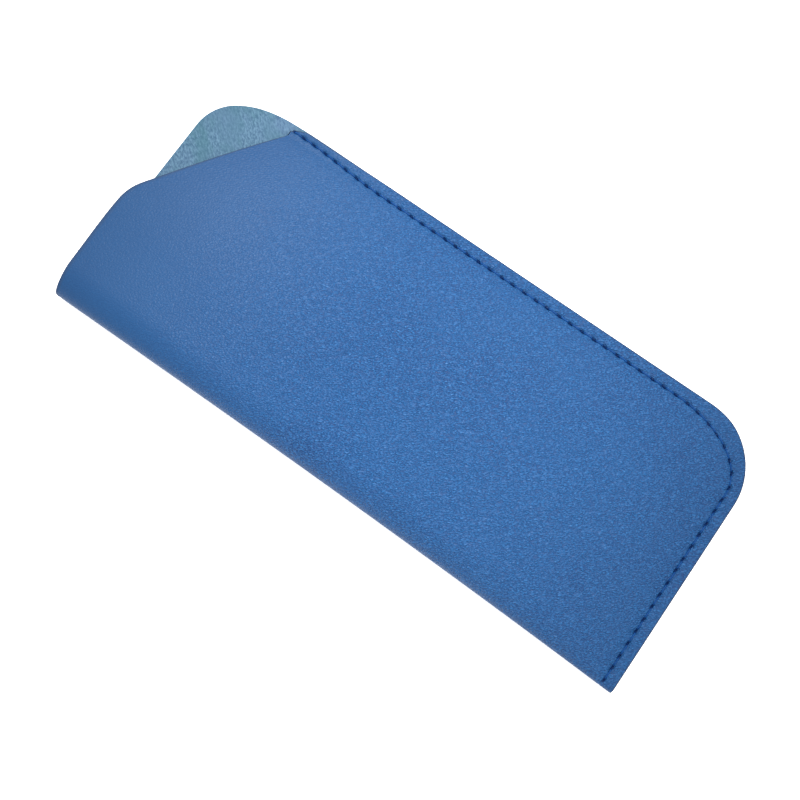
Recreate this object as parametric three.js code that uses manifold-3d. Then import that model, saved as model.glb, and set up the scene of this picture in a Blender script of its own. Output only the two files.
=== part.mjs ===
// A slip-in eyeglasses case, lying on its back panel.
//
// One piece of leather, with a suede lining bonded to its inner face, is folded once along a long
// side. The other long side and one end are closed by a row of lockstitch. The remaining end is the
// mouth: the front panel has a slanted lip, and the back panel runs past it as a rounded tab.
//
// X runs along the case, with the mouth at -X. The fold is at -Y and the seam at +Y. Z is up.
// The two sheets are cut into panels where the case bends, so that the front panel can lift at the
// mouth and the tab can flex.

import * as THREE from 'three';
import { mergeVertices } from 'three/addons/utils/BufferGeometryUtils.js';
import Module from 'manifold-3d';

const wasm = await Module();
wasm.setup();

// ------------------------------------------------------------ driving sizes, mm and degrees

const CASE_LENGTH = 175; // back panel, mouth to closed end
const CASE_WIDTH = 75.5; // fold to seam edge
const CASE_HEIGHT = 10.2; // from the table to the top of the front panel
const CORNER_RADIUS = 20; // closed-end corner
const TAB_TIGHT_RADIUS = 13; // the tab corner turns tightly off the mouth edge
const TAB_WIDE_RADIUS = 27; // and then widely into the seam edge
const TAB_WIDE_TURN = 35; // how much of the tab corner is the wide curve, in degrees

const LEATHER = 1; // thickness of the outer leather
const LINING = 0.4; // thickness of the suede lining
const GAP = 0.3; // clearance between neighbouring pieces

const LIP_STRAIGHT = 33.7; // from the fold to the corner of the front lip
const LIP_SLANT = 31.8; // how far the slanted lip turns back, in degrees
const LIP_RADIUS = 14; // rounding of that corner
const TAB_LEAD = 3; // on the seam edge, from the tab's bend line to the front lip

const BORDER = 5; // flat sewn border of the front panel
const STITCH_INSET = 3.5; // from the cut edge to the row of stitches
const STITCH_START = 0.8; // from the front lip to the first stitch
const STITCH_END = 1.2; // from the last stitch to the fold
const GROOVE_WIDTH = 1.4; // the stitches pull a groove into the leather
const GROOVE_DEPTH = 0.6;
const THREAD_WIDTH = 0.6;
const NEEDLE_THREAD_HEIGHT = 0.6; // thread on the front, standing a little proud
const BOBBIN_THREAD_HEIGHT = 0.28; // thread on the back, pressed flat in its groove

const ROLL_REACH_OVER = 9; // how far the soft roll of the fold reaches in, on top
const ROLL_REACH_UNDER = 5; // and underneath
const ROLL_FLAT = 2; // flat strip beyond the roll, underneath
const RIDGE_FROM_FOLD = 22; // the front panel is full height from the roll to here
const CLOSED_END_RISE = 55; // and rises to full height over this length from the closed end

// ------------------------------------------------------------ places worked out from them

const mouthX = -CASE_LENGTH / 2;
const closedX = CASE_LENGTH / 2;
const foldY = -CASE_WIDTH / 2;
const seamY = CASE_WIDTH / 2;
const cornerX = closedX - CORNER_RADIUS;
const cornerY = seamY - CORNER_RADIUS;

const liningDepth = LEATHER + GAP;
const stack = liningDepth + LINING;
const seamHeight = 2 * stack + GAP;
const borderX = closedX - BORDER;
const borderY = seamY - BORDER;
const ridgeY = foldY + RIDGE_FROM_FOLD;
const underSplitY = foldY + ROLL_REACH_UNDER + ROLL_FLAT;
const overSplitY = foldY + ROLL_REACH_OVER;

const slant = THREE.MathUtils.degToRad(LIP_SLANT);
const lipCornerY = foldY + LIP_STRAIGHT;
const lipArcStartY = lipCornerY - LIP_RADIUS * Math.tan(slant / 2);
const lipArcEndY = lipArcStartY + LIP_RADIUS * Math.sin(slant);

// The tab corner is two curves that share a tangent where they meet.
const tabTurn = THREE.MathUtils.degToRad(90 + TAB_WIDE_TURN);
const tabCurves = TAB_WIDE_RADIUS - TAB_TIGHT_RADIUS;
const tightX = mouthX + TAB_TIGHT_RADIUS;
const wideX = tightX - tabCurves * Math.cos(tabTurn);
const wideY = seamY - TAB_WIDE_RADIUS;
const tightY = wideY + tabCurves * Math.sin(tabTurn);

// The tab bends along the line between these two points.
const bendFold = new THREE.Vector2(mouthX, underSplitY);
const bendSeam = new THREE.Vector2(lipX(seamY) - TAB_LEAD, seamY);

// ------------------------------------------------------------ outlines and heights

// X of the front lip's edge, at a place across the case.
function lipX(y) {
  if (y <= lipArcStartY) return mouthX;
  if (y >= lipArcEndY) return mouthX + (y - lipCornerY) * Math.tan(slant);
  const across = y - lipArcStartY;
  return mouthX + LIP_RADIUS - Math.sqrt(LIP_RADIUS ** 2 - across ** 2);
}

// X of the closed end, a given inset in from the cut edge.
function endX(y, inset) {
  const radius = CORNER_RADIUS - inset;
  const across = Math.max(y - cornerY, 0);
  return cornerX + Math.sqrt(Math.max(radius ** 2 - across ** 2, 0));
}

// Rises steeply from 0 and levels out at 1.
function easeUp(share) {
  const rest = 1 - THREE.MathUtils.clamp(share, 0, 1);
  return 1 - rest * rest;
}

// Height of the leather's outer face on the front of the case.
function topHeight(x, y) {
  const fromEnd = easeUp((borderX - x) / CLOSED_END_RISE);
  const fromSeam = easeUp((borderY - y) / (borderY - ridgeY));
  return seamHeight + (CASE_HEIGHT - seamHeight) * fromEnd * fromSeam;
}

function spread(from, to, count) {
  return Array.from({ length: count }, (_, i) => from + ((to - from) * i) / count);
}

// The back panel, from the tab's bend line to the closed end.
function backPanelShape() {
  const shape = new THREE.Shape();
  shape.moveTo(bendFold.x + GAP / 2, bendFold.y);
  shape.lineTo(closedX, bendFold.y);
  shape.lineTo(closedX, cornerY);
  shape.absarc(cornerX, cornerY, CORNER_RADIUS, 0, Math.PI / 2, false);
  shape.lineTo(bendSeam.x + GAP / 2, seamY);
  shape.closePath();
  return shape;
}

// The tab, from its bend line out to the mouth edge. The line meets the rounded corner, or the
// straight seam edge before it, whichever comes first.
function tabShape() {
  const meetX = bendSeam.x - GAP / 2;
  const startAngle = Math.acos(Math.min((meetX - wideX) / TAB_WIDE_RADIUS, 0));
  const shape = new THREE.Shape();
  shape.moveTo(mouthX, bendFold.y + GAP);
  shape.lineTo(meetX, wideY + TAB_WIDE_RADIUS * Math.sin(startAngle));
  shape.absarc(wideX, wideY, TAB_WIDE_RADIUS, startAngle, tabTurn, false);
  shape.absarc(tightX, tightY, TAB_TIGHT_RADIUS, tabTurn, Math.PI, false);
  shape.closePath();
  return shape;
}

// A band along the sewn edges of the front, between two insets from the cut edge. It starts a
// given distance in from the lip, and stops at endY.
function edgeBandShape(outer, inner, fromLip, endY) {
  const shape = new THREE.Shape();
  shape.moveTo(lipX(seamY - outer) + fromLip, seamY - outer);
  shape.lineTo(cornerX, seamY - outer);
  shape.absarc(cornerX, cornerY, CORNER_RADIUS - outer, Math.PI / 2, 0, true);
  shape.lineTo(closedX - outer, endY);
  shape.lineTo(closedX - inner, endY);
  shape.lineTo(closedX - inner, cornerY);
  shape.absarc(cornerX, cornerY, CORNER_RADIUS - inner, 0, Math.PI / 2, false);
  shape.lineTo(lipX(seamY - inner) + fromLip, seamY - inner);
  shape.closePath();
  return shape;
}

// ------------------------------------------------------------ ways of making a solid

function flatPiece(shape, bottom, thickness) {
  const options = { depth: thickness, bevelEnabled: false, curveSegments: 12 };
  const geometry = new THREE.ExtrudeGeometry(shape, options);
  geometry.translate(0, 0, bottom);
  return geometry;
}

// A subdivided box bent into a curved sheet. place() takes a column along the case, a row across
// it and whether the point is on the outer face, and gives the point.
function bentPiece(columns, rows, place) {
  const geometry = new THREE.BoxGeometry(columns, rows, 1, columns, rows, 1);
  geometry.deleteAttribute('normal');
  geometry.deleteAttribute('uv');
  const merged = mergeVertices(geometry, 1e-3);
  const position = merged.attributes.position;
  for (let i = 0; i < position.count; i += 1) {
    const column = Math.round(position.getX(i) + columns / 2);
    const row = Math.round(position.getY(i) + rows / 2);
    position.setXYZ(i, ...place(column, row, position.getZ(i) > 0));
  }
  return merged;
}

function toManifold(geometry) {
  const bare = new THREE.BufferGeometry();
  bare.setAttribute('position', geometry.attributes.position);
  bare.setIndex(geometry.index);
  const merged = mergeVertices(bare, 1e-4);
  const solid = { numProp: 3, vertProperties: merged.attributes.position.array };
  return new wasm.Manifold(new wasm.Mesh({ ...solid, triVerts: merged.index.array }));
}

function cutFrom(geometry, cutters) {
  const whole = toManifold(geometry);
  const mesh = cutters.reduce((left, cutter) => left.subtract(toManifold(cutter)), whole).getMesh();
  const result = new THREE.BufferGeometry();
  result.setAttribute('position', new THREE.BufferAttribute(mesh.vertProperties, 3));
  result.setIndex(new THREE.BufferAttribute(mesh.triVerts, 1));
  return result;
}

// ------------------------------------------------------------ curved panels

// The fold: the sheet comes round from under the case to the top of it. Row 0 is underneath, the
// last row is on top, and the rows between go round the roll. The roll is full at the mouth and
// pinched flat at the closed end.
const ROLL_STEPS = 12;

function foldPiece(outerDepth, innerDepth) {
  const xs = [mouthX, ...spread(borderX - CLOSED_END_RISE, borderX, 10), borderX, closedX];
  const lastRow = ROLL_STEPS + 2;
  return bentPiece(xs.length - 1, lastRow, (column, row, outside) => {
    const x = xs[column];
    const depth = outside ? outerDepth : innerDepth;
    const top = topHeight(x, overSplitY);
    if (row === 0) return [x, underSplitY - GAP, depth];
    if (row === lastRow) return [x, overSplitY, top - depth];
    const angle = Math.PI * ((row - 1) / ROLL_STEPS - 0.5);
    const fullness = (top - seamHeight) / (CASE_HEIGHT - seamHeight);
    const fullReach = angle < 0 ? ROLL_REACH_UNDER : ROLL_REACH_OVER - GAP;
    const reach = THREE.MathUtils.lerp(seamHeight / 2, fullReach, fullness);
    const y = foldY + reach - (reach - depth) * Math.cos(angle);
    return [x, y, top / 2 + (top / 2 - depth) * Math.sin(angle)];
  });
}

// The part of the front that lifts: from the roll to the sewn border, and from the lip to the
// closed end's border, which it follows round the corner.
function frontPiece(outerDepth, innerDepth) {
  const inset = BORDER + GAP;
  const cornerSweep = spread(0, Math.PI / 2, 7).map((angle) => Math.sin(angle));
  const lipSweep = spread(0, slant, 4).map((angle) => Math.sin(angle));
  const ys = [
    ...spread(overSplitY + GAP, lipArcStartY, 3),
    ...lipSweep.map((share) => lipArcStartY + LIP_RADIUS * share),
    ...spread(lipArcEndY, cornerY, 4),
    ...cornerSweep.map((share) => cornerY + (CORNER_RADIUS - inset) * share),
    seamY - inset,
  ];
  const columns = 20;
  return bentPiece(columns, ys.length - 1, (column, row, outside) => {
    const y = ys[row];
    const x = THREE.MathUtils.lerp(lipX(y), endX(y, inset), column / columns);
    return [x, y, topHeight(x, y) - (outside ? outerDepth : innerDepth)];
  });
}

// ------------------------------------------------------------ stitching

// The row of stitches: along the seam from the lip, round the corner, and along the closed end.
class StitchLine extends THREE.Curve {
  constructor(height) {
    super();
    this.height = height;
    this.radius = CORNER_RADIUS - STITCH_INSET;
    this.startX = lipX(seamY - STITCH_INSET) + STITCH_START;
    this.seamRun = cornerX - this.startX;
    this.cornerRun = (this.radius * Math.PI) / 2;
    this.endRun = cornerY - (foldY + STITCH_END);
  }

  getPoint(share, target = new THREE.Vector3()) {
    const along = share * (this.seamRun + this.cornerRun + this.endRun);
    const turn = THREE.MathUtils.clamp((along - this.seamRun) / this.radius, 0, Math.PI / 2);
    const seamPart = Math.min(along, this.seamRun);
    const endPart = Math.max(along - this.seamRun - this.cornerRun, 0);
    return target.set(
      this.startX + seamPart + this.radius * Math.sin(turn),
      cornerY + this.radius * Math.cos(turn) - endPart,
      this.height,
    );
  }
}

function threadPiece(centreHeight, threadHeight) {
  const section = new THREE.Shape();
  section.absellipse(0, 0, threadHeight / 2, THREAD_WIDTH / 2, 0, 2 * Math.PI);
  const extrudePath = new StitchLine(centreHeight);
  return new THREE.ExtrudeGeometry(section, { steps: 44, curveSegments: 4, extrudePath });
}

function groove(bottom) {
  const outer = STITCH_INSET - GROOVE_WIDTH / 2;
  const inner = STITCH_INSET + GROOVE_WIDTH / 2;
  const stopY = foldY + STITCH_END - GAP;
  const cutter = edgeBandShape(outer, inner, STITCH_START - 2 * GAP, stopY);
  return flatPiece(cutter, bottom, 2 * GROOVE_DEPTH);
}

// ------------------------------------------------------------ the case

const grooves = [groove(-GROOVE_DEPTH), groove(seamHeight - GROOVE_DEPTH)];
const border = edgeBandShape(0, BORDER, 0, overSplitY + GAP);
const liningTop = seamHeight - stack;

const leather = new THREE.MeshStandardMaterial({ color: 0x4276b8, roughness: 0.55, metalness: 0 });
const suede = new THREE.MeshStandardMaterial({ color: 0x6b97b2, roughness: 0.95, metalness: 0 });
const thread = new THREE.MeshStandardMaterial({ color: 0x1450a0, roughness: 0.7, metalness: 0 });

const pieces = {
  leather_back_panel: [cutFrom(flatPiece(backPanelShape(), 0, LEATHER), grooves), leather],
  leather_fold: [cutFrom(foldPiece(0, LEATHER), grooves), leather],
  leather_sewn_border: [cutFrom(flatPiece(border, seamHeight - LEATHER, LEATHER), grooves), leather],
  leather_front_panel: [frontPiece(0, LEATHER), leather],
  leather_mouth_tab: [flatPiece(tabShape(), 0, LEATHER), leather],
  lining_back_panel: [flatPiece(backPanelShape(), liningDepth, LINING), suede],
  lining_fold: [foldPiece(liningDepth, stack), suede],
  lining_sewn_border: [flatPiece(border, liningTop, LINING), suede],
  lining_front_panel: [frontPiece(liningDepth, stack), suede],
  lining_mouth_tab: [flatPiece(tabShape(), liningDepth, LINING), suede],
  needle_thread: [threadPiece(seamHeight, NEEDLE_THREAD_HEIGHT), thread],
  bobbin_thread: [threadPiece(BOBBIN_THREAD_HEIGHT / 2 + 0.01, BOBBIN_THREAD_HEIGHT), thread],
};

const eyeglassesCase = new THREE.Group();
for (const [name, [geometry, material]] of Object.entries(pieces)) {
  const mesh = new THREE.Mesh(geometry, material.clone());
  mesh.name = name;
  eyeglassesCase.add(mesh);
}

export default eyeglassesCase;
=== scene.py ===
import math

import bpy
import numpy as np
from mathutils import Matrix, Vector
from mathutils.kdtree import KDTree


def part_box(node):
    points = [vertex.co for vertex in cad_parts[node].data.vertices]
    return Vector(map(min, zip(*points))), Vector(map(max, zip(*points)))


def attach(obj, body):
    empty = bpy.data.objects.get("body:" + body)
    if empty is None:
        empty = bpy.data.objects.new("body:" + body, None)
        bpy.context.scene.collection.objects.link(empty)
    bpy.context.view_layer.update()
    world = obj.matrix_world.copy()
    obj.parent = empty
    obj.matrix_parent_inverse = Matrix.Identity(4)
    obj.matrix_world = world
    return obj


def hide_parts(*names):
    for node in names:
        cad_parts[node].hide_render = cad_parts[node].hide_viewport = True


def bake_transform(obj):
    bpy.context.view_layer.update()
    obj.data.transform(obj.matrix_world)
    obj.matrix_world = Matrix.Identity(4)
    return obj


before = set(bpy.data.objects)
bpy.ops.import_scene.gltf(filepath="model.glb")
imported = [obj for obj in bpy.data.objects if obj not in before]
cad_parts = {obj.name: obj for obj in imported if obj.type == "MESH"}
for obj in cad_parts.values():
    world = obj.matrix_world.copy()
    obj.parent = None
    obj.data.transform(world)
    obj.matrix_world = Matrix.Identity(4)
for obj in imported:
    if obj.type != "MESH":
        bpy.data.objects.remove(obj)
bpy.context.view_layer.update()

# A slip-in case for eyeglasses: one sheet of leather with a suede lining, folded once, with
# a row of lockstitch along the long side and round the closed end. Lengths below are in
# millimetres, and become metres when a mesh is made.

MM = 0.001

# ------------------------------------------------------------ sizes taken from the frame


def box_mm(node):
    low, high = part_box(node)
    return [value / MM for value in low], [value / MM for value in high]


def case_box():
    boxes = [box_mm(node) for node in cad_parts]
    low = [min(box[0][axis] for box in boxes) for axis in range(3)]
    high = [max(box[1][axis] for box in boxes) for axis in range(3)]
    return low, high


(MOUTH_X, FOLD_Y, _), (CLOSED_X, SEAM_Y, TOP_Z) = case_box()
UNDER_Y = box_mm("leather_back_panel")[0][1]
BEND_SEAM_X = box_mm("leather_mouth_tab")[1][0]

# ------------------------------------------------------------ the maker's other sizes

CORNER = 19.3  # radius of the closed corner
TAB_TIGHT = 13.0  # the tab corner turns tightly off the mouth edge
TAB_WIDE = 27.0  # and then widely into the seam edge
TAB_TURN = math.radians(125)  # where one curve becomes the other
TAB_SET_BACK = 0.45  # the tab is cut a little short of the mouth
TAB_SETTLES_OVER = 1 / 1.6  # by a share of the mouth edge
TAB_DIP = 0.4  # and its seam edge dips a little
TAB_DIP_X = MOUTH_X + 17.5
TAB_DIP_WIDTH = 7.5
LEATHER = 1.0
LINING = 0.45
GLUE = 0.01
SEWN_GAP = 0.03  # between the two linings under the stitches
LIP_STRAIGHT = 33.7
LIP_SLANT = math.radians(31.8)
LIP_RADIUS = 14.0

SEAM_LIFT = 0.35  # the sewn edge stands this far off the table
LIFT_WIDTH = 18.0
LIFT_SETTLES_OVER = 26.0  # but lies flat at the mouth
BORDER = 5.2  # sewn border that stays with the back
ROLL_OVER = 8.7
ROLL_UNDER = 5.0
RIDGE_Y = FOLD_Y + 22.0
SPLIT_Y = FOLD_Y + 26.75
CLOSED_RISE = 55.0
SWELL_START = 3.3  # the front swells just inside the stitches
SWELL_LEAD = 0.4
SWELL_WIDTH = 3.2
SLACK_HEIGHT = 0.1  # slow waves in the soft front
SLACK_FROM_FOLD = 11.0
SLACK_FROM_SEAM = 6.0
SLACK_SETTLES_OVER = 14.0

SEAM_SET_BACK = 0.4  # the front is cut a little smaller than the back
END_SET_BACK = 0.05
SEAM_SET_BACK_TAIL = 0.25
SEAM_SET_BACK_RUN = 30.0
CORNER_SETTLES_OVER = 1 / 3  # a share of the corner's turn
LIP_SET_BACK = 1.35  # and its corner at the lip is trimmed off
LIP_SET_BACK_RUN = 3.2
LIP_BULGE = 0.4  # the free edge swells out a little near the fold
LIP_DRAWN = 1.15  # and the first stitch draws it out to a point
LIP_DRAWN_FROM = 4.9
LIP_DRAWN_OVER = 2.4
LIP_TUCK = 0.55  # where it comes round the fold it lies back
LIP_TUCK_OVER = 10.0
LIP_REACH = 20.0  # the rows behind the free edge follow it this far in
FOLD_IN_AT_MOUTH = 0.1
FOLD_IN_AT_MIDDLE = 0.45
FOLD_OUT_AT_END = 0.65

PITCH = 3.63
STITCH_START = 0.3
STITCH_END = 0.85
ROW_SEAM_Y = SEAM_Y - 3.8
ROW_CLOSED_X = CLOSED_X - 3.35
ROW_START_RISE = 1.3  # the row starts nearer the edge, and settles over this stretch
ROW_SETTLES_FROM = MOUTH_X + 28
ROW_SETTLES_OVER = 25.0
ROW_TURN_ACROSS = 24.15
ROW_TURN_DOWN = 13.95
ROW_STEP = 0.1
ROW_TURN_STEP = 0.005  # in radians
ROW_REACH = 2.6  # the leather is drawn in this far from the row
PITCH_STRAY = 0.16  # the holes are not quite evenly spaced
PITCH_STRAY_TURN = 2.4

CORNER_X = CLOSED_X - CORNER
CORNER_Y = SEAM_Y - CORNER
TIGHT_X = MOUTH_X + TAB_SET_BACK + TAB_TIGHT
WIDE_X = TIGHT_X - (TAB_WIDE - TAB_TIGHT) * math.cos(TAB_TURN)
WIDE_Y = SEAM_Y - TAB_WIDE
TIGHT_Y = WIDE_Y + (TAB_WIDE - TAB_TIGHT) * math.sin(TAB_TURN)
WALL = LEATHER + GLUE + LINING
SEAM_TOP = SEAM_LIFT + 2 * WALL + SEWN_GAP
LIP_CORNER_Y = FOLD_Y + LIP_STRAIGHT
LIP_ARC_START_Y = LIP_CORNER_Y - LIP_RADIUS * math.tan(LIP_SLANT / 2)
LIP_ARC_END_Y = LIP_ARC_START_Y + LIP_RADIUS * math.sin(LIP_SLANT)
LIP_BULGE_FROM = FOLD_Y + 8.0
LIP_BULGE_OVER = LIP_ARC_END_Y - FOLD_Y - 2.0
QUARTER = math.pi / 2

# ------------------------------------------------------------ outlines and heights


def between(low, high, share):
    return low + (high - low) * share


def clamp(share):
    """Keeps a share from 0 to 1."""
    return min(max(share, 0.0), 1.0)


def ease(share):
    """Starts gently and ends gently."""
    share = clamp(share)
    return share * share * (3 - 2 * share)


def ease_up(share):
    """Starts at once and ends gently."""
    rest = 1 - clamp(share)
    return 1 - rest * rest


def lip_give(y):
    """How far the soft free edge strays from the line it was cut to."""
    bulged = math.sin(math.pi * clamp((y - LIP_BULGE_FROM) / LIP_BULGE_OVER)) ** 2
    drawn = ease((y - SEAM_Y + LIP_DRAWN_FROM) / LIP_DRAWN_OVER)
    tucked = 1 - ease((y - FOLD_Y) / LIP_TUCK_OVER)
    return LIP_TUCK * tucked - LIP_BULGE * bulged - LIP_DRAWN * drawn


def lip_x(y):
    """X of the front's free edge: straight, then round, then slanted back."""
    if y <= LIP_ARC_START_Y:
        return MOUTH_X + lip_give(y)
    if y >= LIP_ARC_END_Y:
        return MOUTH_X + (y - LIP_CORNER_Y) * math.tan(LIP_SLANT) + lip_give(y)
    across = y - LIP_ARC_START_Y
    return MOUTH_X + LIP_RADIUS - math.sqrt(LIP_RADIUS**2 - across**2) + lip_give(y)


def inset_of(x, y):
    """How far a place lies in from the sewn edges."""
    if x > CORNER_X and y > CORNER_Y:
        return CORNER - math.hypot(x - CORNER_X, y - CORNER_Y)
    return min(SEAM_Y - y, CLOSED_X - x)


def lift(x, y):
    """Height of the underside, which curls up towards the stitches."""
    share = 1 - clamp(inset_of(x, y) / LIFT_WIDTH)
    return SEAM_LIFT * share * share * ease((x - MOUTH_X) / LIFT_SETTLES_OVER)


def slack(x, y):
    """Slow waves in the soft front panel."""
    wave = math.sin(x / 11.0 + y / 23.0) + 0.7 * math.sin(x / 17.0 - y / 9.5 + 1.3)
    off_fold = ease((y - FOLD_Y - SLACK_FROM_FOLD) / SLACK_SETTLES_OVER)
    off_seam = ease((inset_of(x, y) - SLACK_FROM_SEAM) / SLACK_SETTLES_OVER)
    return SLACK_HEIGHT * wave * off_fold * off_seam


def front_top(x, y):
    """Height of the outer face on the front, away from the roll of the fold."""
    inset = inset_of(x, y)
    from_end = ease_up((CLOSED_X - SWELL_START - x) / CLOSED_RISE)
    from_seam = ease_up((SEAM_Y - SWELL_START - y) / (SEAM_Y - SWELL_START - RIDGE_Y))
    swell = ease((inset - SWELL_START + SWELL_LEAD) / SWELL_WIDTH)
    return SEAM_TOP + (TOP_Z - SEAM_TOP) * from_end * from_seam * swell + slack(x, y)


def fold_line(x):
    """Y of the fold's outermost line, which is pinched outwards at the closed end."""
    share = (x - MOUTH_X) / (CLOSED_X - MOUTH_X)
    drawn_in = FOLD_IN_AT_MIDDLE * math.sin(math.pi * share)
    return FOLD_Y + between(FOLD_IN_AT_MOUTH, -FOLD_OUT_AT_END, share**3) + drawn_in


class Roll:
    """The section of the fold at a place along the case."""

    def __init__(self, x):
        self.line = fold_line(x)
        self.top = front_top(x, FOLD_Y + ROLL_OVER)
        self.low = lift(x, UNDER_Y)
        fullness = (self.top - SEAM_TOP) / (TOP_Z - SEAM_TOP)
        self.half = (self.top - self.low) / 2
        self.middle = (self.top + self.low) / 2
        self.over = between(self.half, ROLL_OVER, fullness)
        self.under = between(self.half, ROLL_UNDER, fullness)


# A station runs along the sewn edge: 0 to 1 the seam, to 2 the corner, to 3 the closed end as
# far as the split, to 4 the flat of the front, to 5 over the roll, to 6 under it, and to 7 the
# flat strip underneath.


def roll_point(x, station):
    """A place on the flat of the front, over the roll or under it."""
    roll = Roll(x)
    if station <= 4:
        y = between(SPLIT_Y, roll.line + roll.over, station - 3)
        return x, y, front_top(x, y)
    if station <= 5:
        angle = (5 - station) * QUARTER
        y = roll.line + roll.over * (1 - math.cos(angle))
        return x, y, roll.middle + roll.half * math.sin(angle)
    if station <= 6:
        angle = (station - 5) * QUARTER
        y = roll.line + roll.under * (1 - math.cos(angle))
        return x, y, roll.middle - roll.half * math.sin(angle)
    y = between(roll.line + roll.under, UNDER_Y, station - 6)
    return x, y, lift(x, y)


def set_back(station):
    """How far the front's cut edge lies in from the back's."""
    if station <= 1:
        run = station * (CORNER_X - lip_x(SEAM_Y))
        tail = SEAM_SET_BACK_TAIL * max(1 - run / SEAM_SET_BACK_RUN, 0.0)
        trimmed = LIP_SET_BACK * (1 - ease(run / LIP_SET_BACK_RUN))
        return SEAM_SET_BACK + tail + trimmed
    if station <= 2:
        settled = ease((station - 1) / CORNER_SETTLES_OVER)
        return between(SEAM_SET_BACK, END_SET_BACK, settled)
    return END_SET_BACK * (1 - ease((station - 5) / 2))


def front_border_point(station, inset):
    """A place in the band beside the front's sewn edge, this far in from the edge."""
    inset = inset + set_back(station) * (1 - inset / BORDER)
    if station <= 1:
        y = SEAM_Y - inset
        x = between(lip_x(y), CORNER_X, station)
        return x, y, front_top(x, y)
    if station <= 2:
        angle = (2 - station) * QUARTER
        x = CORNER_X + (CORNER - inset) * math.cos(angle)
        y = CORNER_Y + (CORNER - inset) * math.sin(angle)
        return x, y, front_top(x, y)
    if station <= 3:
        x = CLOSED_X - inset
        y = between(CORNER_Y, SPLIT_Y, station - 2)
        return x, y, front_top(x, y)
    return roll_point(CLOSED_X - inset, station)


def back_border_point(station, inset):
    """A place in the band beside the back's cut edge, this far in from the edge.

    The station is 0 to 1 on the mouth, to 2 on the tab corner, to 3 on the seam, to 4 on the
    closed corner and to 5 on the closed end.
    """
    if station <= 1:
        x = MOUTH_X + TAB_SET_BACK * ease(station / TAB_SETTLES_OVER) + inset
        y = between(UNDER_Y, TIGHT_Y, station)
    elif station <= 2:
        angle = math.pi - (station - 1) * QUARTER
        tight = angle > TAB_TURN
        radius = (TAB_TIGHT if tight else TAB_WIDE) - inset
        x = (TIGHT_X if tight else WIDE_X) + radius * math.cos(angle)
        y = (TIGHT_Y if tight else WIDE_Y) + radius * math.sin(angle)
    elif station <= 3:
        x = between(WIDE_X, CORNER_X, station - 2)
        y = SEAM_Y - inset
    elif station <= 4:
        angle = (4 - station) * QUARTER
        x = CORNER_X + (CORNER - inset) * math.cos(angle)
        y = CORNER_Y + (CORNER - inset) * math.sin(angle)
    else:
        x = CLOSED_X - inset
        y = between(CORNER_Y, UNDER_Y, station - 4)
    if 1 < station <= 3:
        y -= TAB_DIP * math.exp(-(((x - TAB_DIP_X) / TAB_DIP_WIDTH) ** 2))
    return x, y, lift(x, y)


def front_height(x, y):
    """Height of the outer face on the front, on the roll as well."""
    roll = Roll(x)
    if y >= roll.line + roll.over:
        return front_top(x, y)
    along = 1 - (y - roll.line) / roll.over
    return roll.middle + roll.half * math.sqrt(max(1 - along * along, 0.0))


# ------------------------------------------------------------ the row of needle holes


def stitch_row():
    """The sewn row as closely spaced places, from the lip to the fold."""
    start_x = lip_x(ROW_SEAM_Y + ROW_START_RISE) + STITCH_START
    turn_x = ROW_CLOSED_X - ROW_TURN_ACROSS
    turn_y = ROW_SEAM_Y - ROW_TURN_DOWN
    places = []
    for x in np.arange(start_x, turn_x, ROW_STEP):
        settled = ease((x - ROW_SETTLES_FROM) / ROW_SETTLES_OVER)
        places.append((x, ROW_SEAM_Y + ROW_START_RISE * (1 - settled)))
    for angle in np.arange(QUARTER, 0, -ROW_TURN_STEP):
        across = ROW_TURN_ACROSS * math.cos(angle)
        places.append((turn_x + across, turn_y + ROW_TURN_DOWN * math.sin(angle)))
    for y in np.arange(turn_y, FOLD_Y + STITCH_END, -ROW_STEP):
        places.append((ROW_CLOSED_X, y))
    return np.array(places)


def needle_holes(row):
    """The places of the needle holes, with one at each end of the row."""
    steps = np.hypot(*np.diff(row, axis=0).T)
    run = np.concatenate([[0], np.cumsum(steps)])
    count = round(run[-1] / PITCH)
    stops = np.linspace(0, run[-1], count + 1)
    inside = (stops > 0) * (stops < run[-1])
    stops = stops + PITCH_STRAY * np.sin(np.arange(count + 1) * PITCH_STRAY_TURN) * inside
    return np.column_stack([np.interp(stops, run, row[:, 0]), np.interp(stops, run, row[:, 1])])


def finder(places):
    """Finds the nearest of some places."""
    tree = KDTree(len(places))
    for number, place in enumerate(places):
        tree.insert((place[0], place[1], 0), number)
    tree.balance()
    return tree


ROW = stitch_row()
HOLES = needle_holes(ROW)
ROW_TREE = finder(ROW)
HOLE_TREE = finder(HOLES)

HOLE_LENGTH = 0.95
HOLE_WIDTH = 0.3
HOLE_DEPTH = 0.6
HOLE_SLANT = math.radians(10)
HOLE_STEEPNESS = 1.2
PUCKER_DEPTH = 0.16
PUCKER_WIDTH = 0.9
GROOVE_DEPTH = 0.15
GROOVE_WIDTH = 0.5


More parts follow.
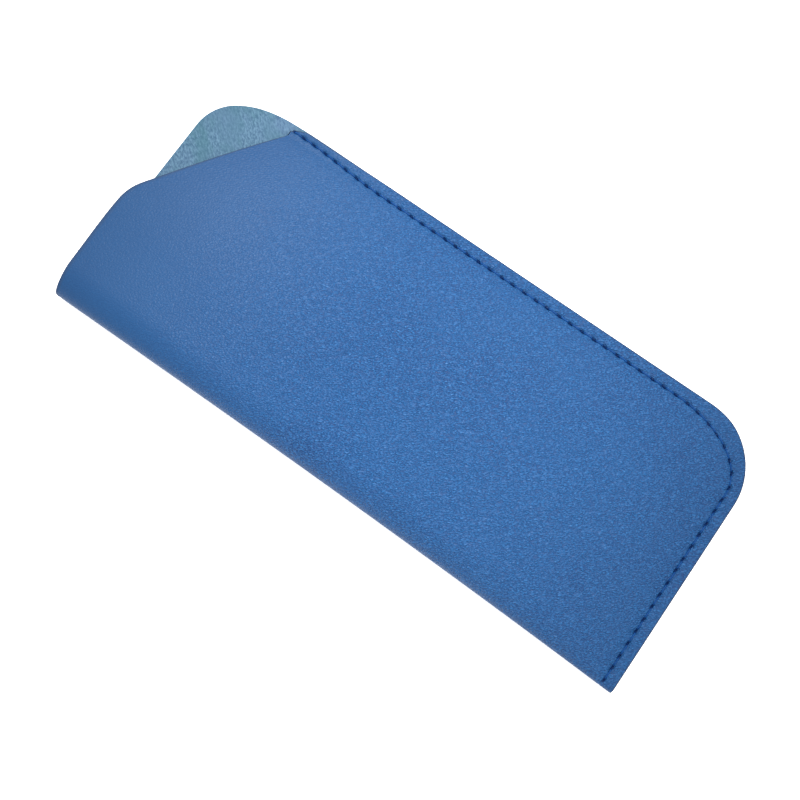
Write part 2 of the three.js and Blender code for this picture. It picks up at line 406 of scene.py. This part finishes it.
def sewn_dent(x, y):
    """How far the stitches pull the leather in, and how much of a needle hole is here."""
    _, number, far = ROW_TREE.find((x, y, 0))
    if far > ROW_REACH:
        return 0.0, 0.0
    ahead = ROW[min(number + 3, len(ROW) - 1)] - ROW[max(number - 3, 0)]
    along = math.atan2(ahead[1], ahead[0])
    hole, _, near = HOLE_TREE.find((x, y, 0))
    turn = along - HOLE_SLANT
    across_x, across_y = x - hole[0], y - hole[1]
    lengthwise = across_x * math.cos(turn) + across_y * math.sin(turn)
    sideways = across_y * math.cos(turn) - across_x * math.sin(turn)
    reach = (lengthwise / HOLE_LENGTH) ** 2 + (sideways / HOLE_WIDTH) ** 2
    hollow = math.exp(-reach * HOLE_STEEPNESS)
    pucker = PUCKER_DEPTH * math.exp(-((near / PUCKER_WIDTH) ** 2))
    past_end = number in (0, len(ROW) - 1)
    groove = 0.0 if past_end else GROOVE_DEPTH * math.exp(-((far / GROOVE_WIDTH) ** 2))
    return HOLE_DEPTH * hollow + pucker + groove, hollow


# ------------------------------------------------------------ skins and sheets


class Skin:
    """The outer face of a bent sheet, which is then cut into pieces and given thickness."""

    def __init__(self, faces_down=False):
        self.points = []
        self.cut = []
        self.parts = {}
        self.faces_down = faces_down

    def point(self, place, cut=False):
        self.points.append(place)
        self.cut.append(cut)
        return len(self.points) - 1

    def face(self, part, corners):
        if self.faces_down:
            corners = corners[::-1]
        self.parts.setdefault(part, []).append(tuple(corners))

    def join(self, part, inner, outer):
        """Faces between two rows of points, where one row may be some times as fine."""
        if len(inner) == len(outer):
            for a, b, c, d in zip(inner, inner[1:], outer[1:], outer):
                self.face(part, (a, b, c, d))
            return
        fine_outside = len(outer) > len(inner)
        coarse, fine = (inner, outer) if fine_outside else (outer, inner)
        times = (len(fine) - 1) // (len(coarse) - 1)
        half = times // 2
        for step in range(len(coarse) - 1):
            a, b = coarse[step], coarse[step + 1]
            run = fine[step * times : step * times + times + 1]
            for number in range(times):
                near = a if number < half else b
                if fine_outside:
                    self.face(part, (near, run[number + 1], run[number]))
                else:
                    self.face(part, (run[number], run[number + 1], near))
            if fine_outside:
                self.face(part, (a, b, run[half]))
            else:
                self.face(part, (run[half], b, a))

    def settle(self):
        """Works out which way the finished face looks, and where the stitches dent it."""
        self.points = np.array(self.points, float)
        every = [face for faces in self.parts.values() for face in faces]
        self.normals = point_normals(self.points, every)
        near_row = [sewn_dent(p[0], p[1]) for p in self.points]
        self.dent = np.array([dent for dent, hollow in near_row])
        self.hollow = np.array([hollow for dent, hollow in near_row])
        dented = self.points - self.normals * self.dent[:, None]
        self.dented_normals = point_normals(dented, every)


def unit(vectors):
    return vectors / np.maximum(np.linalg.norm(vectors, axis=-1, keepdims=True), 1e-12)


def face_crosses(points, faces):
    """The faces as triangles, and for each the way it looks, twice its area long."""
    triangles = np.array([(f[0], f[i], f[i + 1]) for f in faces for i in range(1, len(f) - 1)])
    corner = points[triangles]
    return triangles, np.cross(corner[:, 1] - corner[:, 0], corner[:, 2] - corner[:, 0])


def point_normals(points, faces):
    normals = np.zeros_like(points)
    triangles, facing = face_crosses(points, faces)
    for side in range(3):
        np.add.at(normals, triangles[:, side], facing)
    return unit(normals)


def cut_profile(outer, inner, outer_round, inner_round):
    """Ring by ring from one face of a cut edge to the other: outward, depth, tilt, bareness."""
    diagonal = 1 - math.sqrt(0.5)
    return [
        (-outer_round, outer, 0.0, 0.45),
        (-outer_round * diagonal, outer + outer_round * diagonal, 0.25, 1.0),
        (0.0, outer + outer_round, 0.5, 1.0),
        (0.0, inner - inner_round, 0.5, 1.0),
        (-inner_round * diagonal, inner - inner_round * diagonal, 0.75, 1.0),
        (-inner_round, inner, 1.0, 0.0),
    ]


def in_scene(name, contents):
    """Puts a mesh, a light or a camera into the scene."""
    thing = bpy.data.objects.new(name, contents)
    bpy.context.scene.collection.objects.link(thing)
    return thing


def smooth_piece(name, places, faces, marks):
    """A smooth mesh from places in millimetres, with its marks for the finishes."""
    mesh = bpy.data.meshes.new(name)
    mesh.from_pydata([tuple(place) for place in np.array(places) * MM], [], faces)
    mesh.polygons.foreach_set("use_smooth", [True] * len(mesh.polygons))
    for label, values in marks.items():
        mesh.attributes.new(label, "FLOAT", "POINT").data.foreach_set("value", values)
    return in_scene(name, mesh)


def make_sheet(name, skin, part, outer, inner, rounding, dented):
    """A closed sheet between two depths below the skin, with rounded cut edges."""
    faces = skin.parts[part]
    used = sorted({corner for face in faces for corner in face})
    edges = {(a, b) for face in faces for a, b in zip(face, face[1:] + face[:1])}
    rim = [(a, b) for a, b in edges if (b, a) not in edges]
    outward = {}
    for a, b in rim:
        if skin.cut[a] and skin.cut[b]:
            along = unit(skin.points[b] - skin.points[a])
            for end in (a, b):
                side = np.cross(along, skin.normals[end])
                outward[end] = outward.get(end, 0) + side
    profile = cut_profile(outer, inner, *rounding)
    places, normals, bare, hollow, strings = [], [], [], [], {}

    def add(place, normal, bareness, hole):
        places.append(place)
        normals.append(normal)
        bare.append(bareness)
        hollow.append(hole)
        return len(places) - 1

    for spot in used:
        point, normal = skin.points[spot], skin.normals[spot]
        dent = skin.dent[spot] if dented else 0.0
        facing = skin.dented_normals[spot] if dented else normal
        if spot in outward:
            side = unit(outward[spot])
            string = []
            for out, depth, tilt, bareness in profile:
                sunk = dent if depth < LEATHER / 2 else 0.0
                place = point + side * out - normal * (depth + sunk)
                turn = tilt * math.pi
                face_normal = normal * math.cos(turn) + side * math.sin(turn)
                string.append(add(place, face_normal, bareness, 0.0))
            strings[spot] = string
        else:
            top = add(point - normal * (outer + dent), facing, 0.0, skin.hollow[spot])
            low = add(point - normal * inner, -normal, 0.0, 0.0)
            strings[spot] = [top, low]
    solid = []
    for face in faces:
        solid.append([strings[corner][0] for corner in face])
        solid.append([strings[corner][-1] for corner in reversed(face)])
    for a, b in rim:
        first, second = strings[a], strings[b]
        if len(first) == len(second):
            for step in range(len(first) - 1):
                wall = [first[step], first[step + 1], second[step + 1], second[step]]
                solid.append(wall)
        else:
            solid.append(first + second[::-1])
    # the needle_hole mark tells the finishes where to paint the shade inside the holes
    marks = {"bare_edge": bare, "needle_hole": hollow}
    piece = smooth_piece(name, places, solid, marks)
    facings = [tuple(unit(normal)) for normal in np.array(normals)]
    piece.data.normals_split_custom_set_from_vertices(facings)
    return piece


def flat_area(skin, part):
    """Area of a part of the skin, in square metres."""
    facing = face_crosses(skin.points, skin.parts[part])[1]
    return float(np.linalg.norm(facing, axis=1).sum()) / 2 * MM * MM


# ------------------------------------------------------------ laying out the rows of points

TIMES_FINER = 5  # the band round the stitches is finer than the rest
FINE_INSETS = list(np.linspace(4.75, 1.85, 14))
RIM_INSETS = [1.4, 0.9, 0.45, 0.0]


def finer(stations):
    """The same run of stations in shorter steps."""
    steps = []
    for a, b in zip(stations, stations[1:]):
        steps += [between(a, b, number / TIMES_FINER) for number in range(TIMES_FINER)]
    return steps + [stations[-1]]


def steps_between(start, stop, count):
    """Even steps from the start, without the stop."""
    return [between(start, stop, number / count) for number in range(count)]


def add_border(skin, part, inner_row, stations, point_at, first_is_cut):
    """The band from the inner row out to the cut edge, with a fine middle for the stitches."""
    fine_stations = finer(stations)
    previous = inner_row
    for inset in FINE_INSETS + RIM_INSETS:
        along = fine_stations if inset in FINE_INSETS else stations
        row = []
        for number, station in enumerate(along):
            cut = inset == 0 or (first_is_cut and number == 0)
            row.append(skin.point(point_at(station, inset), cut))
        skin.join(part, previous, row)
        previous = row


def patch(skin, part, bottom, top, left, right, height, left_is_cut):
    """A grid between four rows of places, which meet at the corners."""
    columns, rows = len(bottom) - 1, len(left) - 1
    grid = []
    for j in range(rows + 1):
        v = j / rows
        line = []
        for i in range(columns + 1):
            u = i / columns
            mixed = (1 - v) * bottom[i] + v * top[i] + (1 - u) * left[j] + u * right[j]
            mixed = mixed - (1 - u) * (1 - v) * bottom[0] - u * v * top[-1]
            mixed = mixed - u * (1 - v) * bottom[-1] - (1 - u) * v * top[0]
            place = (mixed[0], mixed[1], height(mixed[0], mixed[1]))
            line.append(skin.point(place, left_is_cut and i == 0))
        grid.append(line)
    for lower, upper in zip(grid, grid[1:]):
        for a, b, c, d in zip(lower, lower[1:], upper[1:], upper):
            skin.face(part, (a, b, c, d))
    return grid


def plan(places):
    """The same places without their heights."""
    return [np.array(place[:2]) for place in places]


# ------------------------------------------------------------ the front, with the roll

SEAM_STEPS = 112
LIP_CROWDING = 1.2  # the steps are shorter near the lip
CORNER_STEPS = 24
CLOSED_STEPS = 24
FLAT_STEPS = 22
OVER_STEPS = 12
UNDER_STEPS = 10
STRIP_STEPS = 3

front = Skin()
front_stations = [share**LIP_CROWDING for share in steps_between(0, 1, SEAM_STEPS)]
front_stations += steps_between(1, 2, CORNER_STEPS)
front_stations += steps_between(2, 3, CLOSED_STEPS) + steps_between(3, 4, FLAT_STEPS)
front_stations += steps_between(4, 5, OVER_STEPS) + steps_between(5, 6, UNDER_STEPS)
front_stations += steps_between(6, 7, STRIP_STEPS) + [7]
turning = SEAM_STEPS + CORNER_STEPS // 2
splitting = SEAM_STEPS + CORNER_STEPS + CLOSED_STEPS
border_line = [front_border_point(station, BORDER) for station in front_stations]
seam_side_top = plan(border_line[: turning + 1])
seam_side_right = plan(border_line[turning : splitting + 1])[::-1]
seam_side_left = []
for number in range(len(seam_side_right)):
    across = between(SPLIT_Y, SEAM_Y - BORDER, number / (len(seam_side_right) - 1))
    seam_side_left.append(np.array((lip_x(across), across)))
seam_side_bottom = []
for number in range(turning + 1):
    along = between(MOUTH_X, CLOSED_X - BORDER, number / turning)
    seam_side_bottom.append(np.array((along, SPLIT_Y)))
seam_side = patch(
    front,
    "seam_side",
    seam_side_bottom,
    seam_side_top,
    seam_side_left,
    seam_side_right,
    front_top,
    True,
)
fold_rows = [seam_side[0]]
for station in front_stations[splitting + 1 :]:
    row = []
    for number, spot in enumerate(seam_side[0]):
        x = front.points[spot][0]
        near_mouth = max(1 - (x - MOUTH_X) / LIP_REACH, 0.0)
        x += (lip_x(roll_point(x, station)[1]) - lip_x(SPLIT_Y)) * near_mouth
        row.append(front.point(roll_point(x, station), number == 0))
    fold_rows.append(row)
for upper, lower in zip(fold_rows, fold_rows[1:]):
    for a, b, c, d in zip(upper, lower, lower[1:], upper[1:]):
        front.face("fold_side", (a, b, c, d))
border_row = seam_side[-1] + [line[-1] for line in seam_side[-2::-1]]
border_row += [row[-1] for row in fold_rows[1:]]
add_border(front, "border", border_row, front_stations, front_border_point, True)
front.settle()

# ------------------------------------------------------------ the back, with the tab

BACK_SIDE_STEPS = 40
BACK_SEAM_STEPS = 112

back = Skin(faces_down=True)
back_stations = steps_between(0, 1, BACK_SIDE_STEPS) + steps_between(1, 2, CORNER_STEPS)
back_stations += steps_between(2, 3, BACK_SEAM_STEPS) + steps_between(3, 4, CORNER_STEPS)
back_stations += steps_between(4, 5, BACK_SIDE_STEPS) + [5]
first_turn = BACK_SIDE_STEPS + CORNER_STEPS // 2
second_turn = len(back_stations) - 1 - first_turn
back_line = plan([back_border_point(station, BORDER) for station in back_stations])
back_bottom = []
for number in range(second_turn - first_turn + 1):
    along = between(back_line[0], back_line[-1], number / (second_turn - first_turn))
    back_bottom.append(along)
back_panel = patch(
    back,
    "back",
    back_bottom,
    back_line[first_turn : second_turn + 1],
    back_line[: first_turn + 1],
    back_line[second_turn:][::-1],
    lift,
    False,
)
back_row = [line[0] for line in back_panel] + back_panel[-1][1:]
back_row += [line[-1] for line in back_panel[-2::-1]]
add_border(back, "back", back_row, back_stations, back_border_point, False)
back.settle()

# ------------------------------------------------------------ leather and lining pieces

LEATHER_EDGE = (0.28, 0.08)
LINING_EDGE = (0.06, 0.14)
LINING_DEPTH = LEATHER + GLUE

leather_back = make_sheet("leather_back", back, "back", 0, LEATHER, LEATHER_EDGE, True)
leather_fold_side = make_sheet(
    "leather_front_fold_side", front, "fold_side", 0, LEATHER, LEATHER_EDGE, True
)
leather_seam_side = make_sheet(
    "leather_front_seam_side", front, "seam_side", 0, LEATHER, LEATHER_EDGE, True
)
leather_border = make_sheet(
    "leather_sewn_edge", front, "border", 0, LEATHER, LEATHER_EDGE, True
)
lining_back = make_sheet("lining_back", back, "back", LINING_DEPTH, WALL, LINING_EDGE, False)
lining_fold_side = make_sheet(
    "lining_front_fold_side", front, "fold_side", LINING_DEPTH, WALL, LINING_EDGE, False
)
lining_seam_side = make_sheet(
    "lining_front_seam_side", front, "seam_side", LINING_DEPTH, WALL, LINING_EDGE, False
)
lining_border = make_sheet(
    "lining_sewn_edge", front, "border", LINING_DEPTH, WALL, LINING_EDGE, False
)

# ------------------------------------------------------------ sewing thread

THREAD_RADIUS = 0.22
PLIES = 3
PLY_DEPTH = 0.14
PLY_TURN = 1.9
THREAD_SIDES = 15
THREAD_STEPS = 26
THREAD_SINK = 0.14
THREAD_DIVE = 0.75
THREAD_DIVE_RUN = 0.62
THREAD_SHADE_RUN = 0.8  # the ends lie in the shade of their holes
THREAD_TILT = 0.1  # each stitch lies a little aslant
THREAD_CROWDING = 0.1  # the steps are shorter near the holes


def stitch_line(start, stop, height, up):
    """The middle line of one stitch, and how much of its hole's shade is at each place."""
    span = math.hypot(*(stop - start))
    along = (stop - start) / span
    tilt = np.array((-along[1], along[0])) * THREAD_TILT
    line, shade_here = [], []
    for step in range(THREAD_STEPS + 1):
        share = step / THREAD_STEPS
        share -= THREAD_CROWDING * math.sin(2 * math.pi * share) / math.pi
        spot = start + (stop - start) * share + tilt * (0.5 - share) * up
        nearest = min(share * span, span - share * span)
        deep = THREAD_SINK + THREAD_DIVE * math.exp(-((nearest / THREAD_DIVE_RUN) ** 2))
        line.append((spot[0], spot[1], height(spot[0], spot[1]) - up * deep))
        shade_here.append(math.exp(-((nearest / THREAD_SHADE_RUN) ** 4)))
    return np.array(line), shade_here


def twisted_rings(line, first_turn):
    """Places round a line, ring by ring, in the section of a thread of twisted plies."""
    heading = unit(np.gradient(line, axis=0))
    side = unit(np.cross(heading, (0, 0, 1)))
    rise = np.cross(side, heading)
    places = []
    for step in range(THREAD_STEPS + 1):
        twist = PLY_TURN * 2 * math.pi * step / THREAD_STEPS + first_turn
        for corner in range(THREAD_SIDES):
            angle = 2 * math.pi * corner / THREAD_SIDES
            lobe = 1 + PLY_DEPTH * math.cos(PLIES * angle + twist * PLIES)
            across = side[step] * math.cos(angle) + rise[step] * math.sin(angle)
            places.append(line[step] + across * THREAD_RADIUS * lobe)
    return places


def ring_faces(base):
    """Faces between the rings that start at a place's number, with both ends closed."""
    faces = []
    for step in range(THREAD_STEPS):
        for corner in range(THREAD_SIDES):
            beside = (corner + 1) % THREAD_SIDES
            near = base + step * THREAD_SIDES
            far = near + THREAD_SIDES
            faces.append((near + corner, far + corner, far + beside, near + beside))
    faces.append([base + corner for corner in range(THREAD_SIDES)])
    last = base + THREAD_STEPS * THREAD_SIDES
    faces.append([last + corner for corner in reversed(range(THREAD_SIDES))])
    return faces


def make_stitches(name, height, up):
    """One length of thread from each needle hole to the next, diving into both."""
    places, faces, shaded = [], [], []
    for number, (start, stop) in enumerate(zip(HOLES, HOLES[1:])):
        line, shade_here = stitch_line(start, stop, height, up)
        faces += ring_faces(len(places))
        places += twisted_rings(line, number)
        shaded += [value for value in shade_here for corner in range(THREAD_SIDES)]
    return smooth_piece(name, places, faces, {"needle_hole": shaded})


needle_stitches = make_stitches("needle_stitches", front_height, 1)
bobbin_stitches = make_stitches("bobbin_stitches", lift, -1)

# ------------------------------------------------------------ finishes


def shade(red, green, blue):
    """A colour from its everyday 0 to 255 numbers."""
    parts = []
    for value in (red, green, blue):
        value = value / 255
        parts.append(value / 12.92 if value <= 0.04045 else ((value + 0.055) / 1.055) ** 2.4)
    return (*parts, 1.0)


class Value:
    """A number that varies over a surface, for use in sums."""

    def __init__(self, finish, socket):
        self.finish = finish
        self.socket = socket

    def sum(self, operation, first, second):
        return self.finish.node("ShaderNodeMath", {"operation": operation}, {0: first, 1: second})

    def __add__(self, other):
        return self.sum("ADD", self, other)

    def __radd__(self, other):
        return self.sum("ADD", other, self)

    def __sub__(self, other):
        return self.sum("SUBTRACT", self, other)

    def __rsub__(self, other):
        return self.sum("SUBTRACT", other, self)

    def __mul__(self, other):
        return self.sum("MULTIPLY", self, other)

    def __rmul__(self, other):
        return self.sum("MULTIPLY", other, self)

    def step(self, low, high):
        """Rises smoothly from 0 at low to 1 at high."""
        sockets = {"Value": self, "From Min": low, "From Max": high}
        return self.finish.node("ShaderNodeMapRange", {"interpolation_type": "SMOOTHSTEP"}, sockets)


MIX_FIRST = 6  # a mix has several sockets of one name, so its colours go by number
MIX_SECOND = 7
MIX_RESULT = 2


class Finish:
    """A material and the nodes that make it."""

    def __init__(self, name):
        self.material = bpy.data.materials.new(name)
        self.material.use_nodes = True
        self.tree = self.material.node_tree
        self.tree.nodes.clear()

    def node(self, kind, settings, sockets, output=0):
        made = self.tree.nodes.new(kind)
        for key, value in settings.items():
            setattr(made, key, value)
        for key, value in sockets.items():
            if isinstance(value, Value):
                self.tree.links.new(value.socket, made.inputs[key])
            else:
                made.inputs[key].default_value = value
        return Value(self, made.outputs[output]) if made.outputs else None

    def place(self, turn, stretch):
        """Places on the object in millimetres, turned about Z, then stretched."""
        spot = self.node("ShaderNodeTexCoord", {}, {}, "Object")
        sockets = {"Vector": spot, "Rotation": (0, 0, turn)}
        turned = self.node("ShaderNodeMapping", {}, sockets)
        scale = [part / MM for part in stretch]
        return self.node("ShaderNodeMapping", {}, {"Vector": turned, "Scale": scale})

    def noise(self, place, size, detail=2.0, roughness=0.5):
        sockets = {"Vector": place, "Scale": 1 / size, "Detail": detail, "Roughness": roughness}
        return self.node("ShaderNodeTexNoise", {}, sockets)

    def cells(self, place, size, feature):
        sockets = {"Vector": place, "Scale": 1 / size}
        return self.node("ShaderNodeTexVoronoi", {"feature": feature}, sockets)

    def shift(self, place, size, amount):
        """Places pushed about by a noise, so that lines wander."""
        sockets = {"Vector": place, "Scale": 1 / size}
        push = self.node("ShaderNodeTexNoise", {}, sockets, "Color")
        settings = {"operation": "MULTIPLY_ADD"}
        sockets = {0: push, 1: (amount, amount, amount), 2: place}
        return self.node("ShaderNodeVectorMath", settings, sockets)

    def reach(self, place, axis):
        """How far along one axis, in millimetres."""
        return self.node("ShaderNodeSeparateXYZ", {}, {"Vector": place}, axis)

    def mark(self, name):
        """What a mesh says about each of its places, such as how bare its edge is."""
        return self.node("ShaderNodeAttribute", {"attribute_name": name}, {}, "Fac")

    def mix(self, share, first, second):
        """One colour going over into another."""
        sockets = {"Factor": share, MIX_FIRST: first, MIX_SECOND: second}
        return self.node("ShaderNodeMix", {"data_type": "RGBA"}, sockets, MIX_RESULT)

    def bump(self, height, strength, depth):
        sockets = {"Height": height, "Strength": strength, "Distance": depth * MM}
        return self.node("ShaderNodeBump", {}, sockets)

    def finish(self, sockets):
        shader = self.node("ShaderNodeBsdfPrincipled", {}, sockets)
        self.node("ShaderNodeOutputMaterial", {}, {"Surface": shader})
        return self.material


# painted shade: the dark navy painted into the needle holes and onto the thread's ends for the
# shade inside the holes
HOLE_SHADE_BLUE = shade(2, 32, 80)
GRAIN_WAY = math.radians(-35)  # the pebbles lie slantwise, and are longer that way
GRAIN_MEAN = 0.56
GRAIN_DEPTH = 0.24
WORN_GRAIN = 0.18  # what is left of the grain at the handled mouth
# over this stretch towards the mouth the grain wears flatter, and the leather is painted darker as
# shade
WEAR_AND_SHADE_FROM_X = -4.0
WEAR_AND_SHADE_TO_X = -78.0


def leather_finish():
    finish = Finish("pebbled_blue_leather")
    grain_way = finish.place(GRAIN_WAY, (0.55, 1.0, 1.0))
    even_way = finish.place(0, (1, 1, 1))
    wander = finish.shift(grain_way, 1.2, 0.7)
    crease = finish.cells(wander, 0.52, "DISTANCE_TO_EDGE").step(0.0, 0.34)
    ripple = finish.noise(wander, 0.34, 1.5, 0.6).step(0.3, 0.7)
    patches = finish.noise(even_way, 9.0, 2.0)
    broad = finish.noise(even_way, 34.0, 2.0)
    along = finish.reach(even_way, "X")
    # 1 away from the mouth; less towards it, where the grain is worn flatter and painted shade
    # darkens the leather
    unworn_and_lit = WORN_GRAIN + along.step(WEAR_AND_SHADE_TO_X, WEAR_AND_SHADE_FROM_X) * (1 - WORN_GRAIN)
    grain = ripple * 0.55 + crease * 0.45
    bare = finish.mark("bare_edge")
    hole = finish.mark("needle_hole").step(0.12, 0.6)
    # the creases are painted darker and the pebble tops lighter: partly the grain's own tones,
    # partly painted shade in the creases and painted highlight on the tops
    tone = GRAIN_MEAN + (grain - GRAIN_MEAN) * unworn_and_lit
    blue = finish.mix(tone, shade(5, 45, 92), shade(33, 92, 146))
    blue = finish.mix(patches.step(0.35, 0.75) * 0.2, blue, shade(19, 69, 119))
    blue = finish.mix(broad.step(0.3, 0.7) * 0.15, blue, shade(29, 86, 138))
    # painted shade: the leather is painted darker towards the mouth, where the light falls off
    blue = finish.mix((1 - unworn_and_lit) * 0.34, blue, shade(8, 26, 48))
    # painted shade: the needle holes are painted dark navy for the shade inside them
    blue = finish.mix(hole * 0.95, blue, HOLE_SHADE_BLUE)
    blue = finish.mix(bare * 0.85, blue, shade(44, 48, 58))
    rough = 0.52 - grain * 0.06 + bare * 0.25
    normal = finish.bump(grain * unworn_and_lit, 1.0, GRAIN_DEPTH)
    return finish.finish(
        {
            "Base Color": blue,
            "Roughness": rough,
            "Normal": normal,
            "Specular IOR Level": 0.26,
        }
    )


NAP_WAY = math.radians(38)
NAP_DEPTH = 0.16


def suede_finish():
    finish = Finish("pale_blue_suede")
    nap_way = finish.place(NAP_WAY, (0.45, 1.0, 1.0))
    even_way = finish.place(0, (1, 1, 1))
    nap = finish.noise(nap_way, 0.5, 4.0, 0.65)
    speckle = finish.noise(even_way, 0.22, 2.0, 0.6)
    brushed = finish.noise(nap_way, 4.5, 3.0, 0.6)
    broad = finish.noise(even_way, 16.0, 2.0)
    pale = finish.mix(nap.step(0.32, 0.68), shade(54, 85, 109), shade(95, 127, 149))
    pale = finish.mix(brushed.step(0.4, 0.62) * 0.5, pale, shade(60, 100, 112))
    pale = finish.mix(broad.step(0.35, 0.7) * 0.35, pale, shade(86, 108, 142))
    bare = finish.mark("bare_edge")
    pale = finish.mix(bare * 0.7, pale, shade(48, 56, 64))
    height = nap * 0.7 + speckle * 0.5 + brushed * 0.4
    rough = 0.88 + nap * 0.1
    normal = finish.bump(height, 0.8, NAP_DEPTH)
    return finish.finish(
        {
            "Base Color": pale,
            "Roughness": rough,
            "Normal": normal,
            "Sheen Weight": 0.1,
            "Sheen Roughness": 0.5,
            "Specular IOR Level": 0.2,
        }
    )


def thread_finish():
    finish = Finish("bonded_blue_thread")
    even_way = finish.place(0, (1, 1, 1))
    fibre = finish.noise(even_way, 0.12, 3.0, 0.6)
    worn = finish.noise(even_way, 3.0, 2.0)
    blue = finish.mix(fibre.step(0.3, 0.7), shade(3, 46, 96), shade(6, 64, 126))
    blue = finish.mix(worn.step(0.4, 0.7) * 0.3, blue, shade(10, 70, 132))
    # painted shade: the thread's ends, down in the holes, are painted the same dark navy as the
    # holes' shade
    hole = finish.mark("needle_hole").step(0.2, 0.8)
    blue = finish.mix(hole * 0.95, blue, HOLE_SHADE_BLUE)
    normal = finish.bump(fibre, 0.4, 0.05)
    return finish.finish(
        {
            "Base Color": blue,
            "Roughness": 0.5 + fibre * 0.15,
            "Normal": normal,
            "Specular IOR Level": 0.15,
        }
    )


def floor_finish():
    finish = Finish("pale_floor")
    place = finish.place(0, (1, 1, 1))
    tone = finish.noise(place, 160.0, 2.0)
    pale = finish.mix(tone.step(0.3, 0.7), shade(246, 246, 247), shade(249, 249, 250))
    return finish.finish(
        {
            "Base Color": pale,
            "Roughness": 0.8,
            "Specular IOR Level": 0.1,
            "Emission Color": (1.0, 1.0, 1.0, 1.0),
            "Emission Strength": 0.5,
        }
    )


leather = leather_finish()
suede = suede_finish()
thread = thread_finish()

# ------------------------------------------------------------ finishes, hidden frame parts and bodies

leather_pieces = [leather_back, leather_fold_side, leather_seam_side, leather_border]
lining_pieces = [lining_back, lining_fold_side, lining_seam_side, lining_border]
thread_pieces = [needle_stitches, bobbin_stitches]
for pieces, material, slot in (
    (leather_pieces, leather, "leather"),
    (lining_pieces, suede, "suede_lining"),
    (thread_pieces, thread, "sewing_thread"),
):
    for piece in pieces:
        piece.data.materials.append(material)

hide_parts("leather_back_panel", "leather_mouth_tab")
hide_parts("leather_fold")
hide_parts("leather_front_panel")
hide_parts("leather_sewn_border")
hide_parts("lining_back_panel", "lining_mouth_tab")
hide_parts("lining_fold")
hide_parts("lining_front_panel")
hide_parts("lining_sewn_border")
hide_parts("needle_thread")
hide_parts("bobbin_thread")

TAB_BEND_START = 1.0  # a place this far off the tab's line
TAB_BEND_END = 12.0
BEND_MARGIN = 1.0  # a margin just inside the sewn edge and the split
bend_line = unit(np.array((BEND_SEAM_X - MOUTH_X, SEAM_Y - UNDER_Y)))
off_bend = np.array((-bend_line[1], bend_line[0]))
bend_middle = np.array((MOUTH_X + BEND_SEAM_X, UNDER_Y + SEAM_Y)) / 2


def in_metres(x, y, z):
    return (x * MM, y * MM, z * MM)


tab_start = in_metres(*(bend_middle + off_bend * TAB_BEND_START), 0)
tab_end = in_metres(*(bend_middle + off_bend * TAB_BEND_END), 0)
for piece in (leather_back, lining_back):
    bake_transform(piece)
for piece in (leather_fold_side, lining_fold_side):
    in_metres(0, UNDER_Y, 0)
    in_metres(0, SPLIT_Y - BEND_MARGIN, TOP_Z)
    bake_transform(piece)
for piece in (leather_seam_side, lining_seam_side):
    in_metres(0, SEAM_Y - BORDER + BEND_MARGIN, 0)
    in_metres(0, SPLIT_Y, 0)
    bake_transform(piece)
for piece in (leather_border, lining_border, needle_stitches, bobbin_stitches):
    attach(piece, "root")


def cut_size(skin, part, width, length):
    """Flat size and area of a cut sheet."""
    return {"flat": (width * MM, length * MM), "area": flat_area(skin, part)}


BEND_EXTRA = 0.5  # a curved sheet is a little longer when it lies flat
SWELL_EXTRA = 1.5
CASE_RUN = CLOSED_X - MOUTH_X + BEND_EXTRA
FOLD_RUN = 44.0  # over the roll, round it and under it
SEAM_RUN = SEAM_Y - BORDER - SPLIT_Y + SWELL_EXTRA
back_cut = cut_size(back, "back", SEAM_Y - UNDER_Y + BEND_EXTRA, CASE_RUN)
fold_cut = cut_size(front, "fold_side", FOLD_RUN, CASE_RUN - BORDER)
seam_cut = cut_size(front, "seam_side", SEAM_RUN, CASE_RUN - BORDER)

# ------------------------------------------------------------ floor, light and camera

FLOOR_REACH = 1.2
FLOOR_DROP = 2e-5  # the floor is this far below the case, in metres
floor_mesh = bpy.data.meshes.new("floor")
turns = ((-1, -1), (1, -1), (1, 1), (-1, 1))
corners = [(x * FLOOR_REACH, y * FLOOR_REACH, -FLOOR_DROP) for x, y in turns]
floor_mesh.from_pydata(corners, [], [(0, 1, 2, 3)])
floor_mesh.materials.append(floor_finish())
floor = in_scene("floor", floor_mesh)

VIEW_TURN = math.radians(35.25)
VIEW_TILT = math.radians(79.9)
VIEW_DISTANCE = 0.2875
VIEW_TARGET = Vector((0.00203, -0.00792, 0))
view_x = -math.sin(VIEW_TURN) * math.cos(VIEW_TILT)
view_y = math.cos(VIEW_TURN) * math.cos(VIEW_TILT)
towards_case = Vector((view_x, view_y, -math.sin(VIEW_TILT)))
camera_data = bpy.data.cameras.new("camera")
camera_data.sensor_width = 36
camera_data.lens = 49.5
camera_data.clip_start = 0.01
camera_data.clip_end = 20
camera = in_scene("camera", camera_data)
camera.location = VIEW_TARGET - towards_case * VIEW_DISTANCE
camera.rotation_euler = towards_case.to_track_quat("-Z", "Y").to_euler()
bpy.context.scene.camera = camera

KEY_PLACE = Vector((-0.06, 0.3, 0.76))
KEY_TARGET = Vector((-0.002, -0.004, 0))
key_data = bpy.data.lights.new("key_light", "SPOT")
key_data.spot_size = math.radians(19.5)
key_data.spot_blend = 1.0
key_data.shadow_soft_size = 0.04
key_data.energy = 39.5
key_light = in_scene("key_light", key_data)
key_light.location = KEY_PLACE
key_light.rotation_euler = (KEY_TARGET - KEY_PLACE).to_track_quat("-Z", "Y").to_euler()

world = bpy.data.worlds.new("studio")
world.use_nodes = True
background = world.node_tree.nodes["Background"]
background.inputs["Color"].default_value = (1.0, 1.0, 1.0, 1.0)
background.inputs["Strength"].default_value = 1.06
bpy.context.scene.world = world
bpy.context.scene.view_settings.view_transform = "Standard"
